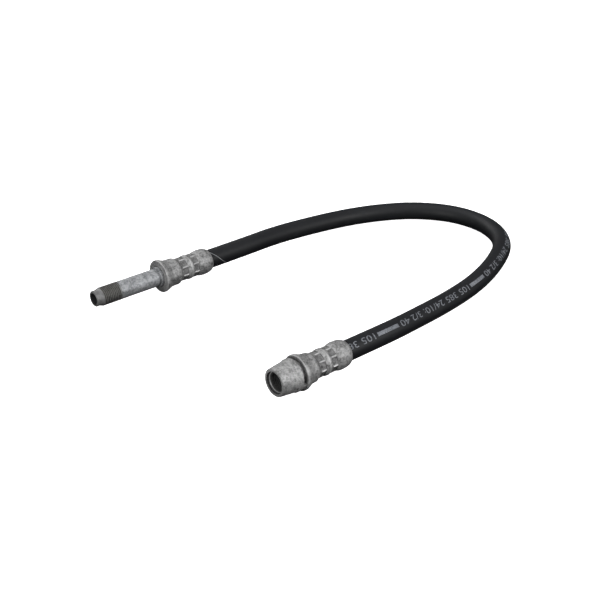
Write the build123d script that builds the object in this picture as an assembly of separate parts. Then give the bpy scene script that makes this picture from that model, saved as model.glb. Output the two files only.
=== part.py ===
# Hydraulic hose assembly: a braided rubber hose with a male threaded fitting crimped on one end
# and a female threaded fitting crimped on the other, lying on a flat surface in a wide loop.
#
# Frame: +Z up, +X along both fittings towards the loop of the hose, the male fitting on the +Y side.
# The origin is on the surface, under the middle of the box that the two fittings fill.
# All sizes are in millimetres.

from build123d import *
import math
import os

# ---- hose ----
hose_diameter = 10.5
hose_bore = 3.2
lining_wall = 1.0
braid_wall = 0.5
cushion_wall = 0.4

# ---- threads, both ends ----
thread_diameter = 10.0
thread_pitch = 1.0
stem_bore = 2.4

# ---- male fitting, lengths from its tip ----
male_pilot_diameter = 8.6
male_pilot_length = 2.2
male_lead_length = 2.0
male_thread_length = 10.2
male_shank_diameter = 9.8
male_stem_length = 40.5
male_mouth_diameter = 5.9
male_mouth_depth = 5.0
relief_width = 1.0
relief_depth = 0.45

# ---- female fitting, lengths from its mouth ----
female_nose_diameter = 14.0
female_root_diameter = 15.8
female_nose_length = 9.05
female_band_diameter = 16.5
female_band_width = 2.4
clip_groove_width = 1.8
clip_groove_diameter = 13.4
female_mouth_diameter = 11.2
female_mouth_depth = 0.9
female_socket_depth = 10.6
locating_key_width = 2.6
locating_key_angle = 118.0
keyway_width = 2.2
keyway_length = 2.6
keyway_floor_diameter = 14.4

# ---- ferrules, lengths from the front face ----
collar_diameter = 18.0
collar_width = 1.4
shoulder_length = 5.2
shoulder_wall = 2.25
male_sleeve_length = 10.4
female_sleeve_length = 8.1
sleeve_taper = 0.1
crimp_land = 2.8
crimp_step = 1.2
ridge_land = 2.0
bell_ramp = 3.2
bell_length = 3.3
bell_wall = 1.85
lip_length = 3.0
lip_wall = 0.85
front_wall = 2.6
jaw_count = 8
jaw_gap = 0.75

# ---- crimp ----
neck_diameter = 10.8
boss_width = 1.3
stop_width = 1.6
front_squeeze = 0.5
rear_squeeze = 0.45
ridge_squeeze = 0.25
crimp_wall = 1.35
burr_height = 0.25
ridge_crown = 0.2
nipple_growth = 0.3
barb_height = 0.25
barb_pitch = 2.9
barb_count = 6

# ---- layout ----
fitting_spacing = 124.4
female_mouth_x = -17.15
edge_break = 0.3
mouth_clearance = 0.35

# Route of the hose between the two ferrule mouths. The first and last two points follow the fittings.
free_route = [
    (86.5, 64.5, 8.2),
    (112.5, 64, 6.8),
    (138.5, 61.5, 5.6),
    (161.5, 54, 5.3),
    (181.5, 41.5, 5.3),
    (196, 21, 5.3),
    (197.5, -4, 5.3),
    (185, -26, 5.3),
    (160, -40, 5.3),
    (133.5, -49.5, 5.3),
    (106.5, -54.5, 5.6),
    (80.5, -58, 6.8),
]
male_lead_x = 60.5
female_lead_x = 54.5
arc_share = 0.45

# ---- worked out from the sizes above ----
axis_height = collar_diameter / 2
first_crimp = crimp_step * 2
ridge_start = first_crimp + crimp_land + crimp_step
second_crimp = ridge_start + ridge_land + crimp_step
bell_start = second_crimp + crimp_land + bell_ramp
lip_start = bell_start + bell_length
crimped_length = lip_start + lip_length
male_length = male_stem_length + male_sleeve_length + crimped_length
male_tip_x = -male_length / 2
male_face_x = male_tip_x + male_stem_length
male_mouth_x = male_face_x + male_sleeve_length + crimped_length
female_stem_length = female_nose_length + female_band_width + clip_groove_width
female_face_x = female_mouth_x + female_stem_length
female_end_x = female_face_x + female_sleeve_length + crimped_length
hose_start = front_wall + stop_width
hose_radius = hose_diameter / 2
bore_radius = hose_bore / 2
lining_radius = bore_radius + lining_wall
inner_braid_radius = lining_radius + braid_wall
cushion_radius = inner_braid_radius + cushion_wall
outer_braid_radius = cushion_radius + braid_wall
nipple_radius = bore_radius + nipple_growth
nipple_end = hose_start + barb_pitch * barb_count
nipple_tip = nipple_end + barb_pitch
male_leg = Pos(male_face_x, fitting_spacing / 2, axis_height)
female_leg = Pos(female_face_x, -fitting_spacing / 2, axis_height)


def turned(outline):
    """A solid turned about the X axis from (x, radius) points."""
    return revolve(make_face(Polyline(*outline, close=True)), Axis.X)


def squeezed_surface(sleeve):
    """(x, radius) points of the hose's outside under the crimp, from its end to the bell."""
    front = hose_radius - front_squeeze
    ridge = hose_radius - ridge_squeeze
    rear = hose_radius - rear_squeeze
    return [
        (hose_start, hose_radius),
        (sleeve, hose_radius),
        (sleeve + first_crimp, front),
        (sleeve + first_crimp + crimp_land, front),
        (sleeve + ridge_start, ridge),
        (sleeve + ridge_start + ridge_land, ridge),
        (sleeve + second_crimp, rear),
        (sleeve + second_crimp + crimp_land, rear),
        (sleeve + bell_start, hose_radius),
    ]


def nipple_surface():
    """(x, radius) points of the ribbed nipple, from the hose stop to its tip."""
    points = [(hose_start, nipple_radius)]
    for barb in range(barb_count):
        barb_end = hose_start + barb_pitch * (barb + 1)
        points.append((barb_end - barb_pitch / 4, nipple_radius + barb_height))
        points.append((barb_end, nipple_radius))
    points.append((nipple_tip, bore_radius))
    return points


def thread_groove(crest_radius, root_radius, crest_width, root_width, length):
    """A helical groove along +X from x = 0, a little proud of the crest it is cut from."""
    outward = 1 if crest_radius > root_radius else -1
    proud = 0.05
    flank = (crest_width - root_width) / 2 / abs(crest_radius - root_radius)
    open_radius = crest_radius + outward * proud
    open_width = crest_width + 2 * flank * proud
    helix = Helix(pitch=thread_pitch, height=length, radius=root_radius)
    section = make_face(
        Polyline(
            (root_radius, 0, -root_width / 2),
            (open_radius, 0, -open_width / 2),
            (open_radius, 0, open_width / 2),
            (root_radius, 0, root_width / 2),
            close=True,
        )
    )
    return Rot(0, 90, 0) * sweep(section, path=helix, is_frenet=True)


def jaw_dents(start, land, floor_radius):
    """The flat prints of the crimping jaws round one crimp, as solids to cut away."""
    pitch_angle = 360 / jaw_count
    print_width = 2 * floor_radius * math.tan(math.radians(pitch_angle / 2)) - jaw_gap
    depth = land / 2
    jaw = Box(land, print_width, depth)
    jaw = fillet(jaw.edges().filter_by(Axis.Y).group_by(Axis.Z)[0], land / 4)
    middle = start + land / 2
    lift = floor_radius + depth / 2
    return [Rot(pitch_angle * (turn + 0.5), 0, 0) * Pos(middle, 0, lift) * jaw for turn in range(jaw_count)]


def ferrule(sleeve):
    """A crimped ferrule: collar, conical shoulder, two crimps and a bell mouth."""
    collar = collar_diameter / 2
    shoulder = hose_radius + shoulder_wall
    front = hose_radius - front_squeeze + crimp_wall
    ridge = hose_radius - ridge_squeeze + crimp_wall + ridge_crown
    rear = hose_radius - rear_squeeze + crimp_wall
    bell = hose_radius + bell_wall
    lip = hose_radius + lip_wall
    length = sleeve + crimped_length
    outside = FilletPolyline(
        (collar_width, collar),
        (shoulder_length, shoulder),
        (sleeve, shoulder - sleeve_taper),
        (sleeve + first_crimp, front + burr_height),
        (sleeve + first_crimp + crimp_land, front + burr_height),
        (sleeve + ridge_start, ridge),
        (sleeve + ridge_start + ridge_land, ridge),
        (sleeve + second_crimp, rear + burr_height),
        (sleeve + second_crimp + crimp_land, rear + burr_height),
        (sleeve + bell_start, bell),
        (sleeve + lip_start, bell),
        (length, lip),
        radius=[1.2, 1.2, 0.8, 0.5, 0.5, 0.5, 0.5, 1.0, 2.2, 2.4],
    )
    hole = neck_diameter / 2
    mouth = hose_radius + mouth_clearance
    rest = Polyline(
        (length, lip),
        (length, mouth),
        (sleeve + bell_start + bell_length / 2, mouth),
        *reversed(squeezed_surface(sleeve)),
        (front_wall, hose_radius),
        (front_wall, hole),
        (0, hole),
        (0, collar - edge_break),
        (edge_break, collar),
        (collar_width, collar),
    )
    body = revolve(make_face(outside + rest), Axis.X)
    dents = jaw_dents(sleeve + first_crimp - crimp_step / 2, crimp_land + crimp_step, front)
    dents += jaw_dents(sleeve + second_crimp - crimp_step / 2, crimp_land + crimp_step, rear)
    return body - dents


def stem_tail():
    """(x, radius) points of the part of a stem that the ferrule and hose hide, from the ferrule's face."""
    neck = neck_diameter / 2
    stop = hose_radius - front_squeeze
    return [(0, neck), (front_wall, neck), (front_wall, stop), (hose_start, stop)] + nipple_surface()


def male_stem():
    """Threaded end: pilot, thread, plain shank, neck and nipple."""
    crest = thread_diameter / 2
    root = crest - 0.6134 * thread_pitch
    pilot = male_pilot_diameter / 2
    shank = male_shank_diameter / 2
    neck = neck_diameter / 2
    bore = stem_bore / 2
    mouth = male_mouth_diameter / 2
    tip = -male_stem_length
    thread_start = tip + male_pilot_length + male_lead_length
    thread_end = thread_start + male_thread_length
    body = turned(
        [
            (tip, mouth),
            (tip, pilot - edge_break),
            (tip + edge_break, pilot),
            (tip + male_pilot_length, pilot),
            (thread_start, crest),
            (thread_end, crest),
            (thread_end + crest - shank, shank),
            (-boss_width - relief_width - relief_depth, shank),
            (-boss_width - relief_width, shank - relief_depth),
            (-boss_width, shank - relief_depth),
            (-boss_width, neck - edge_break),
            (-boss_width + edge_break, neck),
        ]
        + stem_tail()[1:]
        + [
            (nipple_tip, bore),
            (tip + male_mouth_depth + (mouth - bore) * 0.6, bore),
            (tip + male_mouth_depth, mouth),
        ]
    )
    groove = thread_groove(crest, root, 0.875 * thread_pitch, 0.15 * thread_pitch, male_thread_length + 0.4)
    return body - Pos(thread_start - 0.4, 0, 0) * groove


def female_stem():
    """Socket end: nose with a threaded socket, flange band, clip groove, neck and nipple."""
    crest = thread_diameter / 2 - 0.5413 * thread_pitch
    bore = stem_bore / 2
    nose = female_nose_diameter / 2
    root = female_root_diameter / 2
    band = female_band_diameter / 2
    groove_floor = clip_groove_diameter / 2
    mouth = female_mouth_diameter / 2
    tip = -female_stem_length
    socket_end = tip + female_socket_depth
    body = turned(
        [
            (tip, mouth),
            (tip, nose - edge_break),
            (tip + edge_break, nose),
            (tip + female_nose_length, root),
            (tip + female_nose_length, band - edge_break),
            (tip + female_nose_length + edge_break, band),
            (-clip_groove_width - edge_break, band),
            (-clip_groove_width, band - edge_break),
            (-clip_groove_width, groove_floor),
            (0, groove_floor),
        ]
        + stem_tail()
        + [
            (nipple_tip, bore),
            (socket_end + (crest - bore) * 0.3, bore),
            (socket_end, crest),
            (tip + female_mouth_depth + mouth - crest, crest),
            (tip + female_mouth_depth, mouth),
        ]
    )
    key_height = (band - groove_floor) * 2
    key = Box(clip_groove_width + edge_break * 2, locating_key_width, key_height)
    keyway = Box(keyway_length, keyway_width, key_height)
    keyway_x = -clip_groove_width - female_band_width - keyway_length / 2
    key_x = -(clip_groove_width + edge_break) / 2
    key = Pos(key_x, 0, groove_floor) * key
    round_bar = Pos(key_x, 0, 0) * Cylinder(band, clip_groove_width + edge_break, rotation=(0, 90, 0))
    keyway = Pos(keyway_x, 0, (keyway_floor_diameter + key_height) / 2) * keyway
    body = body + Rot(locating_key_angle, 0, 0) * (key & round_bar)
    body = body - Rot(locating_key_angle, 0, 0) * keyway
    thread_length = female_socket_depth - female_mouth_depth - 0.7 * thread_pitch
    groove = thread_groove(crest, crest + 0.3 * thread_pitch, 0.44 * thread_pitch, 0.12 * thread_pitch, thread_length)
    return body - Pos(tip + female_mouth_depth + 0.4 * thread_pitch, 0, 0) * groove


def hose_points():
    """Every corner of the free hose, from the male ferrule's mouth to the female's."""
    leg = fitting_spacing / 2
    start = [(male_mouth_x, leg, axis_height), (male_lead_x, leg, axis_height)]
    finish = [(female_lead_x, -leg, axis_height), (female_end_x, -leg, axis_height)]
    return [Vector(*point) for point in start + free_route + finish]


def arc_radii(points):
    """The radius at each corner: as large as its two runs allow."""
    radii = []
    for before, corner, after in zip(points, points[1:], points[2:]):
        run_in = corner - before
        run_out = after - corner
        half_turn = math.radians(run_in.get_angle(run_out)) / 2
        shorter = min(run_in.length, run_out.length)
        radii.append(arc_share * shorter / math.tan(half_turn))
    return radii


def hose_path():
    """Straight runs joined by tangent arcs, between the two ferrule mouths."""
    points = hose_points()
    return FilletPolyline(*points, radius=arc_radii(points))


def hose_layer(inner_radius, outer_radius, inside=None, outside=None):
    """One tube of the hose: a straight end in each ferrule and the free length between them."""
    inside = inside or [(hose_start, inner_radius)]
    path = hose_path()
    section = (path ^ 0) * (Circle(outer_radius) - Circle(inner_radius))
    layer = sweep(section, path=path)
    for leg, sleeve in ((male_leg, male_sleeve_length), (female_leg, female_sleeve_length)):
        length = sleeve + crimped_length
        skin = outside(sleeve) if outside else [(hose_start, outer_radius)]
        end = [(length, outer_radius), (length, inner_radius)]
        layer = leg * turned(skin + end + list(reversed(inside))) + layer
    return layer


def write(part, node):
    """One STEP file for one piece."""
    export_step(part, f"parts/{node}.step")


os.makedirs("parts", exist_ok=True)

write(male_leg * male_stem(), "male_fitting")
write(male_leg * ferrule(male_sleeve_length), "male_ferrule")
write(female_leg * female_stem(), "female_fitting")
write(female_leg * ferrule(female_sleeve_length), "female_ferrule")
lining_inside = nipple_surface()
write(hose_layer(bore_radius, lining_radius, inside=lining_inside), "hose_lining")
write(hose_layer(lining_radius, inner_braid_radius), "inner_braid")
write(hose_layer(inner_braid_radius, cushion_radius), "cushion_layer")
write(hose_layer(cushion_radius, outer_braid_radius), "outer_braid")
write(hose_layer(outer_braid_radius, hose_radius, outside=squeezed_surface), "outer_cover")

path = hose_path()
print("arc radii", [round(radius, 1) for radius in arc_radii(hose_points())])
print("free length of the hose", round(path.length, 1))
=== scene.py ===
import math
from bisect import bisect_right
import bmesh
import bpy
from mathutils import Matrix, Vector, noise


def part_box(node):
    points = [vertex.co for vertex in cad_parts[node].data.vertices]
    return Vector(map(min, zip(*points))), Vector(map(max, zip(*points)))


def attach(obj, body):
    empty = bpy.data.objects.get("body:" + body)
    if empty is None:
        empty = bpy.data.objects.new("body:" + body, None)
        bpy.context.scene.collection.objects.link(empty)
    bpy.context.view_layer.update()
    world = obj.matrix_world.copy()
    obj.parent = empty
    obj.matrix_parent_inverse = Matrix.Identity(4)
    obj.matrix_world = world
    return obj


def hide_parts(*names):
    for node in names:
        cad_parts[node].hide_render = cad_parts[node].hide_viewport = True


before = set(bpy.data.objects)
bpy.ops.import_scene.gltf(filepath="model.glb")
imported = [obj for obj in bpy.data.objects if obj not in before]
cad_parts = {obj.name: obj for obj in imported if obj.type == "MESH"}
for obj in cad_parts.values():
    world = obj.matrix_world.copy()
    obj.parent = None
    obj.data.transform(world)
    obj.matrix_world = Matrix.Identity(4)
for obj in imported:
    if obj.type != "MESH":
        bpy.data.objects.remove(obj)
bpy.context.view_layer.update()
millimetre = 0.001
print("frame loaded")

cameraView = {"place": (-0.2945, -0.4063, 0.2842), "tilt": 62.25, "heading": -40.4, "lens": 68.4}


def placeCamera():
    lens = bpy.data.cameras.new("camera")
    lens.lens = cameraView["lens"]
    lens.sensor_width = 36
    lens.clip_start = 0.01
    lens.clip_end = 20
    camera = bpy.data.objects.new("camera", lens)
    camera.location = cameraView["place"]
    camera.rotation_euler = (math.radians(cameraView["tilt"]), 0, math.radians(cameraView["heading"]))
    bpy.context.scene.collection.objects.link(camera)
    bpy.context.scene.camera = camera


placeCamera()
print("camera placed")


class Wire:
    # one socket of a material, so that values can be written as plain sums
    def __init__(self, paint, socket):
        self.paint = paint
        self.socket = socket

    def maths(self, operation, *values):
        return self.paint.node("ShaderNodeMath", {"operation": operation}, dict(enumerate(values)))

    def __add__(self, other):
        return self.maths("ADD", self, other)

    def __radd__(self, other):
        return self.maths("ADD", other, self)

    def __sub__(self, other):
        return self.maths("SUBTRACT", self, other)

    def __rsub__(self, other):
        return self.maths("SUBTRACT", other, self)

    def __mul__(self, other):
        return self.maths("MULTIPLY", self, other)

    def __rmul__(self, other):
        return self.maths("MULTIPLY", other, self)

    def __pow__(self, other):
        return self.maths("POWER", self, other)


class Paint:
    # a material and its nodes
    def __init__(self, name):
        self.material = bpy.data.materials.new(name)
        self.material.use_nodes = True
        self.tree = self.material.node_tree
        self.tree.nodes.clear()

    def node(self, kind, settings, sockets, output=0):
        made = self.tree.nodes.new(kind)
        for name, value in settings.items():
            setattr(made, name, value)
        for name, value in sockets.items():
            if isinstance(value, Wire):
                self.tree.links.new(value.socket, made.inputs[name])
            else:
                made.inputs[name].default_value = value
        return Wire(self, made.outputs[output]) if made.outputs else None

    def place(self):
        return self.node("ShaderNodeTexCoord", {}, {}, "Object")

    def axes(self, where):
        # the three coordinates of a place
        first = self.node("ShaderNodeSeparateXYZ", {}, {"Vector": where})
        return [Wire(self, socket) for socket in first.socket.node.outputs]

    def attribute(self, name, output="Fac"):
        return self.node("ShaderNodeAttribute", {"attribute_name": name}, {}, output)

    def grain(self, where, size, detail=3.0, roughness=0.5, stretch=(1, 1, 1)):
        # noise whose features are about size millimetres across
        scaled = self.node("ShaderNodeMapping", {}, {"Vector": where, "Scale": stretch})
        sockets = {"Vector": scaled, "Scale": 1 / (size * millimetre), "Detail": detail, "Roughness": roughness}
        return self.node("ShaderNodeTexNoise", {}, sockets)

    def between(self, value, low, high):
        # 0 below low, 1 above high, smooth between
        sockets = {"Value": value, "From Min": low, "From Max": high}
        return self.node("ShaderNodeMapRange", {"interpolation_type": "SMOOTHSTEP"}, sockets)

    def blend(self, factor, first, second):
        return self.node("ShaderNodeMix", {"data_type": "RGBA"}, {0: factor, 6: first, 7: second}, 2)

    def bump(self, height, depth, strength=1.0):
        # depth in millimetres
        sockets = {"Height": height, "Distance": depth * millimetre, "Strength": strength}
        return self.node("ShaderNodeBump", {}, sockets, "Normal")

    def finish(self, **sockets):
        named = {name.replace("_", " "): value for name, value in sockets.items()}
        shader = self.node("ShaderNodeBsdfPrincipled", {}, named)
        self.node("ShaderNodeOutputMaterial", {}, {"Surface": shader})
        return self.material


def grey(level, blue=0.0):
    return (level, level * (1 + blue * 0.4), level * (1 + blue), 1)


hose = {
    "radius": 0.00525,
    "bore": 0.0040,
    "sides": 96,
    "smoothness": 40,
    "route": [  # guiding points of the middle line, from the male ferrule round to the female one
        (0.0285, 0.0622, 0.0090),
        (0.0605, 0.0622, 0.0090),
        (0.0865, 0.0645, 0.0082),
        (0.1125, 0.0640, 0.0068),
        (0.1385, 0.0615, 0.0056),
        (0.1615, 0.0540, 0.0053),
        (0.1815, 0.0415, 0.0053),
        (0.1960, 0.0210, 0.0053),
        (0.1975, -0.0040, 0.0053),
        (0.1850, -0.0260, 0.0053),
        (0.1600, -0.0400, 0.0053),
        (0.1335, -0.0495, 0.0053),
        (0.1065, -0.0545, 0.0056),
        (0.0805, -0.0580, 0.0068),
        (0.0545, -0.0622, 0.0090),
        (0.0195, -0.0622, 0.0090),
    ],
}


def splinePlaces():
    curve = bpy.data.curves.new("hoseRoute", "CURVE")
    curve.dimensions = "3D"
    curve.resolution_u = hose["smoothness"]
    spline = curve.splines.new("NURBS")
    spline.points.add(len(hose["route"]) - 1)
    for point, place in zip(spline.points, hose["route"]):
        point.co = (*place, 1)
    spline.order_u = 3
    spline.use_endpoint_u = True
    guide = bpy.data.objects.new("hoseRoute", curve)
    line = bpy.data.meshes.new_from_object(guide)
    places = [vertex.co.copy() for vertex in line.vertices]
    bpy.data.objects.remove(guide)
    bpy.data.meshes.remove(line)
    bpy.data.curves.remove(curve)
    return places


hoseLine = splinePlaces()
hoseReach = [0.0]
for before, after in zip(hoseLine, hoseLine[1:]):
    hoseReach.append(hoseReach[-1] + (after - before).length)


def headings():
    # direction of the hose at each point of its line
    steps = [(after - before).normalized() for before, after in zip(hoseLine, hoseLine[1:])]
    inner = [(one + two).normalized() for one, two in zip(steps, steps[1:])]
    return [steps[0]] + inner + [steps[-1]]


hoseHeading = headings()


def crossAxes(heading):
    # outwards from the loop, and upwards, both square to the hose
    outwards = -heading.cross(Vector((0, 0, 1))).normalized()
    return outwards, heading.cross(outwards).normalized()


def onHose(along, lift, angle):
    # a point beside the hose: along from its start, angle above the outward side
    k = min(max(bisect_right(hoseReach, along) - 1, 0), len(hoseLine) - 2)
    part = (along - hoseReach[k]) / (hoseReach[k + 1] - hoseReach[k])
    centre = hoseLine[k].lerp(hoseLine[k + 1], part)
    outwards, up = crossAxes(hoseHeading[k].lerp(hoseHeading[k + 1], part).normalized())
    return centre + (outwards * math.cos(angle) + up * math.sin(angle)) * lift


def meshPiece(name, points, faces, paint, attributes={}):
    mesh = bpy.data.meshes.new(name)
    mesh.from_pydata(points, [], faces)
    mesh.validate()
    for label, values in attributes.items():
        kind = "FLOAT_VECTOR" if len(values) == 3 * len(points) else "FLOAT"
        field = mesh.attributes.new(label, kind, "POINT")
        field.data.foreach_set("vector" if kind == "FLOAT_VECTOR" else "value", values)
    mesh.shade_smooth()
    mesh.materials.append(paint)
    piece = bpy.data.objects.new(name, mesh)
    bpy.context.scene.collection.objects.link(piece)
    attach(piece, "root")
    return piece


def ringFaces(rings, sides, closed):
    # quads between neighbouring rings, and from the last ring to the first if closed
    faces = []
    for ring in range(rings if closed else rings - 1):
        low = ring * sides
        high = (ring + 1) % rings * sides
        for side in range(sides):
            turn = (side + 1) % sides
            faces.append((low + side, high + side, high + turn, low + turn))
    return faces


def coverRubber():
    paint = Paint("coverRubber")
    straight = paint.attribute("straight", "Vector")
    mottle = paint.grain(straight, 9.0, 4.0, 0.55, (0.4, 1, 1))
    fine = paint.grain(straight, 0.30, 3.0, 0.6)
    drawn = paint.grain(straight, 0.9, 3.0, 0.6, (0.05, 1, 1))
    scuff = paint.between(paint.grain(straight, 2.2, 5.0, 0.65, (0.35, 1, 1)), 0.56, 0.72)
    specks = paint.between(paint.grain(straight, 0.45, 2.0, 0.5), 0.66, 0.78)
    along, across, up = paint.axes(straight)
    upperSheen = paint.between(up, 0.001, 0.0052)  # painted sheen: the cover is lighter on its upper side
    # random tone of the rubber together with the painted sheen on its upper side
    toneAndSheen = mottle * 0.35 + scuff * 0.3 + specks * 0.3 + upperSheen * 0.35
    shade = paint.blend(toneAndSheen, (0.0045, 0.0049, 0.0057, 1), (0.0190, 0.0203, 0.0232, 1))
    rough = 0.50 + mottle * 0.12 + scuff * 0.10
    relief = fine * 0.35 + drawn * 0.5 + scuff * 0.15
    return paint.finish(
        Base_Color=shade, Roughness=rough, Normal=paint.bump(relief, 0.06, 0.7), Specular_IOR_Level=0.22
    )


def buildHose():
    points, straight = [], []
    sides = hose["sides"]
    rings = list(range(len(hoseLine)))
    wall = [(k, hose["radius"]) for k in rings] + [(k, hose["bore"]) for k in reversed(rings)]
    for k, radius in wall:
        outwards, up = crossAxes(hoseHeading[k])
        for side in range(sides):
            angle = 2 * math.pi * side / sides
            points.append(hoseLine[k] + (outwards * math.cos(angle) + up * math.sin(angle)) * radius)
            straight += [hoseReach[k], radius * math.cos(angle), radius * math.sin(angle)]
    faces = ringFaces(len(wall), sides, True)
    return meshPiece("hoseCover", points, faces, coverRubber(), {"straight": straight})


hoseCover = buildHose()
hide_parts("outer_cover")
print("hose built,", round(hoseReach[-1] * 1000, 1), "mm along its line")


printing = {
    "words": "105 385 24/10: 3/2 40",
    "wordsLength": 0.0600,
    "glyphHeight": 0.0034,
    "dash": (0.0146, 0.0020),  # length and width
    "firstDash": 0.0485,
    "repeat": 0.0785,
    "count": 5,
    "endMargin": 0.0070,
    "angle": 50.0,  # degrees above the outward side of the loop
    "lift": 0.000035,  # how far the ink stands proud of the rubber
    "sink": 0.00004,
    "slice": 0.0004,
    "slicesAlong": 0.0012,
}


def printInk(name, dim, bright):
    paint = Paint(name)
    where = paint.place()
    worn = paint.between(paint.grain(where, 0.55, 4.0, 0.6), 0.42, 0.62)
    patchy = paint.grain(where, 5.0, 2.0, 0.5)
    ink = paint.blend(patchy, dim, bright)
    shade = paint.blend(worn * 0.6, ink, (0.035, 0.037, 0.042, 1))
    normal = paint.bump(paint.grain(where, 0.25, 2.0, 0.5), 0.02, 0.5)
    return paint.finish(Base_Color=shade, Roughness=0.55 + worn * 0.15, Normal=normal, Specular_IOR_Level=0.25)


def flatWords():
    # the row of numbers as a flat closed mesh, from x = 0, centred on y = 0
    words = bpy.data.curves.new("words", "FONT")
    words.body = printing["words"]
    words.size = 1
    words.extrude = 0.02
    words.resolution_u = 5
    carrier = bpy.data.objects.new("words", words)
    bpy.context.scene.collection.objects.link(carrier)
    mesh = bpy.data.meshes.new_from_object(carrier)
    bpy.data.objects.remove(carrier)
    bpy.data.curves.remove(words)
    shape = bmesh.new()
    shape.from_mesh(mesh)
    bpy.data.meshes.remove(mesh)
    bmesh.ops.remove_doubles(shape, verts=shape.verts, dist=0.0005)
    low = [min(vertex.co[axis] for vertex in shape.verts) for axis in range(2)]
    high = [max(vertex.co[axis] for vertex in shape.verts) for axis in range(2)]
    for vertex in shape.verts:
        vertex.co.x = (vertex.co.x - low[0]) / (high[0] - low[0]) * printing["wordsLength"]
        vertex.co.y = ((vertex.co.y - low[1]) / (high[1] - low[1]) - 0.5) * printing["glyphHeight"]
    return shape


def flatDash():
    length, width = printing["dash"]
    shape = bmesh.new()
    bmesh.ops.create_cube(shape, size=1)
    for vertex in shape.verts:
        vertex.co.x = (vertex.co.x + 0.5) * length
        vertex.co.y *= width
        vertex.co.z *= 0.04
    return shape


def sliced(shape, span, step, axis):
    # cuts the flat shape into narrow strips so that it can bend
    for cut in range(1, int(span[1] / step) - int(span[0] / step) + 1):
        place = (int(span[0] / step) + cut) * step
        spot = Vector((place, 0, 0)) if axis == 0 else Vector((0, place, 0))
        facing = Vector((1, 0, 0)) if axis == 0 else Vector((0, 1, 0))
        everything = shape.verts[:] + shape.edges[:] + shape.faces[:]
        bmesh.ops.bisect_plane(shape, geom=everything, plane_co=spot, plane_no=facing, dist=1e-7)


def wrapped(shape, start, points, faces):
    # bends a flat shape round the hose, with its top towards the table
    base = len(points)
    angle = math.radians(printing["angle"])
    shape.verts.index_update()
    for vertex in shape.verts:
        lift = printing["lift"] if vertex.co.z > 0 else -printing["sink"]
        turned = angle - vertex.co.y / hose["radius"]
        points.append(onHose(start + vertex.co.x, hose["radius"] + lift, turned))
    faces += [tuple(base + vertex.index for vertex in face.verts) for face in shape.faces]


def buildPrinting():
    words, dash = flatWords(), flatDash()
    half = printing["glyphHeight"] / 2
    for shape, length in ((words, printing["wordsLength"]), (dash, printing["dash"][0])):
        sliced(shape, (0, length), printing["slicesAlong"], 0)
        sliced(shape, (-half, half), printing["slice"], 1)
    points, faces = [], []
    for turn in range(printing["count"]):
        start = printing["firstDash"] + turn * printing["repeat"]
        wrapped(dash, start, points, faces)
        gap = (printing["repeat"] - printing["dash"][0] - printing["wordsLength"]) / 2
        room = hoseReach[-1] - printing["endMargin"] - start - printing["dash"][0] - gap
        if room > printing["wordsLength"]:
            wrapped(words, start + printing["dash"][0] + gap, points, faces)
        else:
            spare = words.copy()
            everything = spare.verts[:] + spare.edges[:] + spare.faces[:]
            bmesh.ops.bisect_plane(
                spare, geom=everything, plane_co=Vector((room, 0, 0)), plane_no=Vector((1, 0, 0)), clear_outer=True
            )
            bmesh.ops.holes_fill(spare, edges=[edge for edge in spare.edges if edge.is_boundary])
            wrapped(spare, start + printing["dash"][0] + gap, points, faces)
            spare.free()
    words.free()
    dash.free()
    ink = printInk("printInk", (0.11, 0.12, 0.135, 1), (0.26, 0.27, 0.295, 1))
    piece = meshPiece("hosePrinting", points, faces, ink)
    return piece


hosePrinting = buildPrinting()
print("printing wrapped")


# a fine line that crosses the cover beside the male ferrule; its ends are distance and angle
hairline = {"from": (0.0072, 92.0), "to": (0.0200, 243.0), "width": 0.00050, "steps": 60, "lift": 0.00003}


def buildHairline():
    points, faces = [], []
    steps = hairline["steps"]
    (fromAlong, fromAngle), (toAlong, toAngle) = hairline["from"], hairline["to"]
    for step in range(steps + 1):
        part = step / steps
        along = fromAlong + (toAlong - fromAlong) * part ** 1.15
        angle = math.radians(fromAngle + (toAngle - fromAngle) * part)
        half = hairline["width"] * (0.55 - 0.35 * part)
        for side, lift in ((-1, -1), (-1, 1), (1, 1), (1, -1)):
            place = onHose(along + side * half, hose["radius"] + lift * hairline["lift"], angle)
            points.append(place)
    for step in range(steps):
        low, high = step * 4, step * 4 + 4
        for side in range(4):
            turn = (side + 1) % 4
            faces.append((low + side, low + turn, high + turn, high + side))
    faces += [(3, 2, 1, 0), tuple(steps * 4 + side for side in range(4))]
    ink = printInk("hairlineInk", (0.24, 0.25, 0.26, 1), (0.42, 0.43, 0.44, 1))
    piece = meshPiece("coverHairline", points, faces, ink)
    return piece


coverHairline = buildHairline()


# the two fittings lie at this distance each side of y = 0, at this height
steel = {"axisY": 0.0622, "axisZ": 0.0090}


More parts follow.
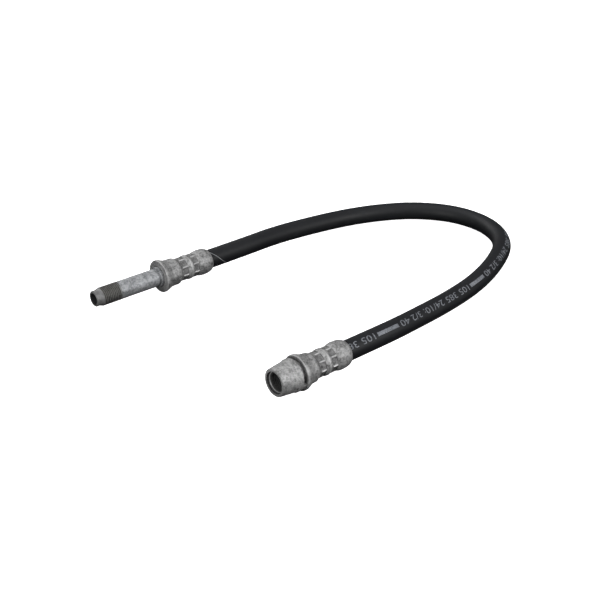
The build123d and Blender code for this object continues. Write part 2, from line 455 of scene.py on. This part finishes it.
def plainSteel(name, side, tint, bores, thread):
    # satin plated steel; a bore is (from x, inner radius, outer radius, strength of the painted shade inside it), a
    # thread is (from x, to x, crest)
    paint = Paint(name)
    where = paint.place()
    x, y, z = paint.axes(where)
    across = y - side * steel["axisY"]
    down = z - steel["axisZ"]
    radius = (across * across + down * down) ** 0.5
    blotch = paint.between(paint.grain(where, 3.6, 5.0, 0.62), 0.30, 0.70)
    cast = paint.between(paint.grain(where, 1.0, 4.0, 0.6), 0.28, 0.72)
    pits = paint.between(paint.grain(where, 0.55, 2.0, 0.5), 0.60, 0.74)
    turned = paint.grain(where, 0.30, 2.0, 0.5, (1, 0.03, 0.03))
    # painted shade: the colour darkens towards the bottom of the part
    paintedUnderShade = 1 - paint.between(z, 0.0015, 0.0085)
    shade = paint.blend(blotch * 0.45 + cast * 0.55, grey(0.10, tint), grey(0.46, tint * 0.6))
    shade = paint.blend(pits * 0.6, shade, grey(0.06))
    shade = paint.blend(paintedUnderShade * (0.45 + cast * 0.25), shade, (0.045, 0.045, 0.042, 1))
    fromX, toX, crest = thread
    inThread = paint.between(x, fromX - 0.0004, fromX) * (1 - paint.between(x, toX, toX + 0.0004))
    # painted shade: the thread is darkened all along, and most in its valleys
    paintedValleyShade = inThread * (0.25 + 0.70 * (1 - paint.between(radius, crest - 0.00045, crest - 0.00005)))
    nearTip = 1 - paint.between(x, toX - 0.0020, toX + 0.0020)
    shade = paint.blend(nearTip * (0.35 + cast * 0.40), shade, (0.085, 0.080, 0.070, 1))
    shade = paint.blend(paintedValleyShade, shade, (0.080, 0.077, 0.066, 1))
    # painted shade: bores and counterbores are painted near black, less metallic and rougher, where shade falls
    # inside them
    inside = 0.0
    for startX, inner, outer, boreShadeStrength in bores:
        reach = paint.between(x, startX - 0.0002, startX + 0.0002) * paint.between(radius, inner - 0.0001, inner)
        inside = inside + reach * (1 - paint.between(radius, outer, outer + 0.0001)) * boreShadeStrength
    shade = paint.blend(inside, shade, (0.010, 0.010, 0.010, 1))
    relief = cast * 0.5 + turned * 0.35 + pits * -0.4
    return paint.finish(
        Base_Color=shade,
        Metallic=0.42 - inside * 0.4 - pits * 0.2,
        Roughness=0.47 + blotch * 0.10 + cast * 0.06 + inside * 0.25 + paintedValleyShade * 0.12,
        Normal=paint.bump(relief, 0.14, 0.8),
        Specular_IOR_Level=0.4,
    )


def crimpedSteel():
    paint = Paint("crimpedSteel")
    where = paint.place()
    paintedCrimpShade = paint.attribute("paintedCrimpShade")
    highlightAndPolish = paint.attribute("highlightAndPolish")
    paintedHollowShade = paint.attribute("paintedHollowShade")
    x, y, z = paint.axes(where)
    blotch = paint.between(paint.grain(where, 3.0, 5.0, 0.62), 0.30, 0.70)
    cast = paint.between(paint.grain(where, 1.0, 4.0, 0.6), 0.28, 0.72)
    pits = paint.between(paint.grain(where, 0.55, 2.0, 0.5), 0.58, 0.74)
    # painted shade: the colour darkens towards the bottom of the part
    paintedUnderShade = 1 - paint.between(z, 0.0015, 0.0085)
    shade = paint.blend(blotch * 0.45 + cast * 0.55, grey(0.075), grey(0.44))
    shade = paint.blend(pits * 0.65, shade, grey(0.05))
    shade = paint.blend(paintedUnderShade * (0.45 + cast * 0.25), shade, (0.040, 0.040, 0.038, 1))
    # painted shade in the crimps and on the line before them
    shade = paint.blend(paintedCrimpShade * (0.65 + cast * 0.35), shade, grey(0.015))
    # painted highlight on ridges and edges, which are also made smoother
    shade = paint.blend(highlightAndPolish * 0.75, shade, grey(0.60))
    # painted shade on the ferrule's inside and on its front face, which is also less metallic and rougher
    shade = paint.blend(paintedHollowShade * 0.9, shade, grey(0.02))
    relief = cast * 0.6 + pits * -0.4 + blotch * 0.2
    return paint.finish(
        Base_Color=shade,
        Metallic=0.40 - pits * 0.2 - paintedHollowShade * 0.35,
        Roughness=0.49 + blotch * 0.10 + cast * 0.06 - highlightAndPolish * 0.12 + paintedHollowShade * 0.2,
        Normal=paint.bump(relief, 0.14, 0.8),
        Specular_IOR_Level=0.4,
    )


ferrule = {
    "collar": [(0.0, 8.7), (0.3, 9.0), (1.4, 9.0), (5.2, 7.5)],  # distance from the front face and radius, in mm
    "crimped": [  # the same, from the end of the plain sleeve
        (-0.4, 7.40), (1.6, 6.30), (2.2, 6.02), (5.2, 6.02), (6.0, 6.62), (7.4, 6.82), (8.8, 6.62), (9.6, 6.05),
        (12.4, 6.05), (13.4, 6.60), (15.2, 7.05), (16.8, 7.18), (18.6, 7.10), (20.4, 6.80), (21.4, 6.40),
        (21.9, 5.95),
    ],
    "inside": [(21.9, 5.6), (17.2, 5.6), (15.0, 5.25)],
    "front": [(2.6, 5.25), (2.6, 5.4), (0.0, 5.4)],
    "frontFace": [6.2, 7.0, 7.8, 8.4],
    "crimps": [(2.0, 5.5, 5.72), (9.3, 12.7, 5.75)],  # from, to, radius of the flats
    "jaws": 8,
    "sides": 208,
    "step": 0.13,
    "ridge": 0.52,  # height of the burr between two jaw prints
    "ridgeWidth": 0.40,
    "wall": 0.42,  # length of the slope at each end of a crimp
    "flatLimit": 0.22,
    "uneven": 0.10,
    "crimpedLength": 21.9,
    "shadeLine": 0.9,  # place of the painted dark line of shade before the first crimp
    "ridgeHighlight": 7.6,  # place of the painted highlight, with a smoother finish, on the top of the ridge between the crimps
    "faceShade": {1: 0.0, -1: 0.72},  # painted shade on the front face, in the corner before the collar, male and female
}


def outlineRadius(outline, u):
    # the outline, with its corners softened away from the collar
    soft = 0.1 if u < 3.5 else 0.4
    total = 0.0
    for sample in range(-3, 4):
        place = min(max(u + soft * sample / 3, 0.0), outline[-1][0])
        for (fromU, fromR), (toU, toR) in zip(outline, outline[1:]):
            if place <= toU:
                total += fromR + (toR - fromR) * (place - fromU) / (toU - fromU)
                break
    return total / 7


def smooth(value):
    value = min(max(value, 0.0), 1.0)
    return value * value * (3 - 2 * value)


def crimpShape(u, angle, base):
    # radius inside a crimp, and how much painted shade and painted highlight the point gets; u is from the sleeve's
    # end
    sector = 2 * math.pi / ferrule["jaws"]
    for start, stop, floor in ferrule["crimps"]:
        inCrimp = smooth((u - start) / ferrule["wall"]) * smooth((stop - u) / ferrule["wall"])
        if inCrimp <= 0:
            continue
        off = (angle / sector) % 1 - 0.5
        flat = min(floor / math.cos(off * sector), floor + ferrule["flatLimit"])
        edge = (0.5 - abs(off)) * sector * floor
        ridge = math.exp(-((edge / ferrule["ridgeWidth"]) ** 2))
        rim = 4 * inCrimp * (1 - inCrimp)
        corner = smooth((edge - 0.3) / 0.2) * smooth((1.1 - edge) / 0.5)
        radius = base + (flat + ferrule["ridge"] * ridge - base) * inCrimp
        # painted shade at the crimp's rims, corners and floor; the ridges between jaw prints get a painted highlight
        dark = max(rim * 0.95, inCrimp * 0.40, corner * inCrimp * 0.80)
        return radius, dark * (1 - ridge), inCrimp * ridge * 0.90
    return base, 0.0, 0.0


def buildFerrule(name, node, side, turn, seed, paint):
    low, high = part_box(node)
    faceX, length = low[0], (high[0] - low[0]) / millimetre
    sleeve = length - ferrule["crimpedLength"]
    outline = ferrule["collar"] + [(sleeve + u, radius) for u, radius in ferrule["crimped"]]
    rows = [(0.0, radius, "face") for radius in ferrule["frontFace"]]
    count = int(length / ferrule["step"])
    rows += [(k * length / count, None, "skin") for k in range(count + 1)]
    rows += [(sleeve + u, radius, "inside") for u, radius in ferrule["inside"]]
    rows += [(u, radius, "inside") for u, radius in ferrule["front"]]
    points, paintedCrimpShadeAt, highlightAndPolishAt, paintedHollowShadeAt = [], [], [], []
    for u, given, kind in rows:
        base = outlineRadius(outline, u) if given is None else given
        for corner in range(ferrule["sides"]):
            angle = 2 * math.pi * corner / ferrule["sides"]
            radius, paintedCrimpShade, highlightAndPolish = base, 0.0, 0.0
            if kind == "skin":
                radius, paintedCrimpShade, highlightAndPolish = crimpShape(u - sleeve, angle + turn, base)
                spot = Vector((u * 0.45 + seed, math.cos(angle) * 3.2, math.sin(angle) * 3.2))
                grip = smooth((u - 1.0) / 1.5) * smooth((length - u) / 1.0)
                radius += noise.fractal(spot, 1.0, 2.0, 3) * ferrule["uneven"] * grip
                # painted highlights on the collar's front edge and on the top of the ridge between the crimps
                for place, reach, amount in ((0.3, 0.3, 0.6), (sleeve + ferrule["ridgeHighlight"], 0.8, 0.55)):
                    highlightAndPolish = max(highlightAndPolish, amount * smooth(1 - abs(u - place) / reach))
                # painted shade: a dark line on the slope before the first crimp
                paintedCrimpShade = max(paintedCrimpShade, 0.75 * smooth(1 - abs(u - sleeve - ferrule["shadeLine"]) / 0.45))
            points.append((
                faceX + u * millimetre,
                side * steel["axisY"] + radius * millimetre * math.sin(angle),
                steel["axisZ"] + radius * millimetre * math.cos(angle),
            ))
            paintedCrimpShadeAt.append(paintedCrimpShade)
            highlightAndPolishAt.append(highlightAndPolish)
            paintedHollowShadeAt.append({"inside": 1.0, "face": ferrule["faceShade"][side], "skin": 0.0}[kind])
    faces = [tuple(reversed(face)) for face in ringFaces(len(rows), ferrule["sides"], True)]
    fields = {"paintedCrimpShade": paintedCrimpShadeAt, "highlightAndPolish": highlightAndPolishAt, "paintedHollowShade": paintedHollowShadeAt}
    piece = meshPiece(name, points, faces, paint, fields)
    piece.data.set_sharp_from_angle(angle=math.radians(38))
    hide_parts(node)
    return piece


ferruleSteel = crimpedSteel()
maleFerrule = buildFerrule("maleFerrule", "male_ferrule", 1, 0.25, 3.0, ferruleSteel)
femaleFerrule = buildFerrule("femaleFerrule", "female_ferrule", -1, 0.10, 11.0, ferruleSteel)
print("ferrules built")

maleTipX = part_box("male_fitting")[0][0]
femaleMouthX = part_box("female_fitting")[0][0]
fittings = {
    "male_fitting": plainSteel(
        "maleSteel", 1, 0.10,
        [(maleTipX - 0.001, 0.0, 0.00312, 0.97)],
        (maleTipX + 0.0042, maleTipX + 0.0144, 0.0050),
    ),
    "female_fitting": plainSteel(
        "femaleSteel", -1, 0.0,
        [(femaleMouthX + 0.0004, 0.00525, 0.00570, 0.95), (femaleMouthX + 0.0012, 0.0, 0.00485, 0.93)],
        (femaleMouthX - 0.0030, femaleMouthX - 0.0020, 0.0050),
    ),
}


def repaint(node, paint, crease):
    piece = bpy.data.objects[node]
    piece.data.materials.clear()
    piece.data.materials.append(paint)
    piece.data.shade_smooth()
    piece.data.set_sharp_from_angle(angle=math.radians(crease))


for node, paint in fittings.items():
    repaint(node, paint, 28)


def hiddenRubber(name, dark, light):
    paint = Paint(name)
    where = paint.place()
    mottle = paint.grain(where, 2.0, 3.0, 0.5)
    fine = paint.grain(where, 0.3, 2.0, 0.5)
    shade = paint.blend(mottle, dark, light)
    return paint.finish(Base_Color=shade, Roughness=0.6 + fine * 0.2, Normal=paint.bump(fine, 0.05, 0.5))


def braidYarn(name, turns):
    # crossing yarns, one set each way
    paint = Paint(name)
    where = paint.place()
    sockets = {"Vector": where, "Scale": turns, "Distortion": 0.6, "Detail": 2.0}
    oneWay = paint.node("ShaderNodeTexWave", {"bands_direction": "DIAGONAL"}, sockets, "Fac")
    turned = paint.node("ShaderNodeMapping", {}, {"Vector": where, "Scale": (1, -1, -1)})
    sockets["Vector"] = turned
    otherWay = paint.node("ShaderNodeTexWave", {"bands_direction": "DIAGONAL"}, sockets, "Fac")
    weave = oneWay * 0.5 + otherWay * 0.5
    shade = paint.blend(weave, (0.30, 0.28, 0.24, 1), (0.68, 0.66, 0.60, 1))
    return paint.finish(Base_Color=shade, Roughness=0.7 + weave * 0.15, Normal=paint.bump(weave, 0.15, 0.8))


repaint("hose_lining", hiddenRubber("liningRubber", grey(0.010), grey(0.030)), 30)
repaint("cushion_layer", hiddenRubber("cushionRubber", grey(0.020), grey(0.050)), 30)
repaint("inner_braid", braidYarn("innerYarn", 420.0), 30)
repaint("outer_braid", braidYarn("outerYarn", 320.0), 30)
print("inner layers painted")


studio = {
    "floorRadius": 6.0,
    "wallHeight": 8.0,
    "wallSides": 64,
    "floorShade": 0.92,
    "floorGlow": 1.0,
    "skyBelow": 0.12,
    "skyAbove": 1.10,
    "skyFrom": -0.30,  # heights between which the sky brightens
    "skyTo": 0.80,
    "sun": {"from": (-0.15, -0.10, 1.0), "strength": 1.3, "softness": 60.0},
    "lights": [  # name, place, aim, size, watts
        ("keySoftbox", (0.40, -0.72, 0.36), (0.02, 0.0, 0.01), 0.38, 5.6),
        ("sideSoftbox", (-0.80, -0.25, 0.28), (0.0, 0.0, 0.01), 0.42, 6.5),
        ("backSoftbox", (0.10, 0.80, 0.55), (0.05, 0.0, 0.01), 0.50, 4.5),
    ],
}


def buildFloor():
    # a round floor that runs on into a plain wall, far from the part
    radius, sides = studio["floorRadius"], studio["wallSides"]
    mesh = bpy.data.meshes.new("floor")
    turns = [2 * math.pi * side / sides for side in range(sides)]
    rim = [(radius * math.cos(turn), radius * math.sin(turn)) for turn in turns]
    corners = [(*place, height) for height in (0, studio["wallHeight"]) for place in rim]
    mesh.from_pydata(corners, [], [tuple(range(sides))] + ringFaces(2, sides, False))
    paint = Paint("floorPaint")
    soft = paint.grain(paint.place(), 40.0, 2.0, 0.5)
    level = studio["floorShade"]
    shade = paint.blend(soft, grey(level), grey(level + 0.02))
    glow = studio["floorGlow"]
    floorPaint = paint.finish(
        Base_Color=shade, Roughness=0.9, Specular_IOR_Level=0.0, Emission_Color=grey(1.0), Emission_Strength=glow
    )
    mesh.materials.append(floorPaint)
    floor = bpy.data.objects.new("floor", mesh)
    floor.visible_diffuse = False
    floor.visible_glossy = False
    floor.visible_shadow = False
    bpy.context.scene.collection.objects.link(floor)


def buildLights():
    for name, place, aim, size, watts in studio["lights"]:
        lamp = bpy.data.lights.new(name, "AREA")
        lamp.shape = "SQUARE"
        lamp.size = size
        lamp.energy = watts
        light = bpy.data.objects.new(name, lamp)
        light.location = place
        light.rotation_euler = (Vector(aim) - Vector(place)).to_track_quat("-Z", "Y").to_euler()
        bpy.context.scene.collection.objects.link(light)
    sun = bpy.data.lights.new("sun", "SUN")
    sun.energy = studio["sun"]["strength"]
    sun.angle = math.radians(studio["sun"]["softness"])
    high = bpy.data.objects.new("sun", sun)
    high.rotation_euler = Vector(studio["sun"]["from"]).to_track_quat("Z", "Y").to_euler()
    bpy.context.scene.collection.objects.link(high)
    sky = bpy.data.worlds.new("studioSky")
    sky.use_nodes = True
    nodes, links = sky.node_tree.nodes, sky.node_tree.links
    direction = nodes.new("ShaderNodeTexCoord")
    parts = nodes.new("ShaderNodeSeparateXYZ")
    height = nodes.new("ShaderNodeMapRange")
    limits = {"From Min": "skyFrom", "From Max": "skyTo", "To Min": "skyBelow", "To Max": "skyAbove"}
    for socket, setting in limits.items():
        height.inputs[socket].default_value = studio[setting]
    links.new(direction.outputs["Generated"], parts.inputs["Vector"])
    links.new(parts.outputs["Z"], height.inputs["Value"])
    links.new(height.outputs["Result"], nodes["Background"].inputs["Strength"])
    bpy.context.scene.world = sky


buildFloor()
buildLights()
bpy.context.scene.view_settings.view_transform = "Standard"
print("studio ready")
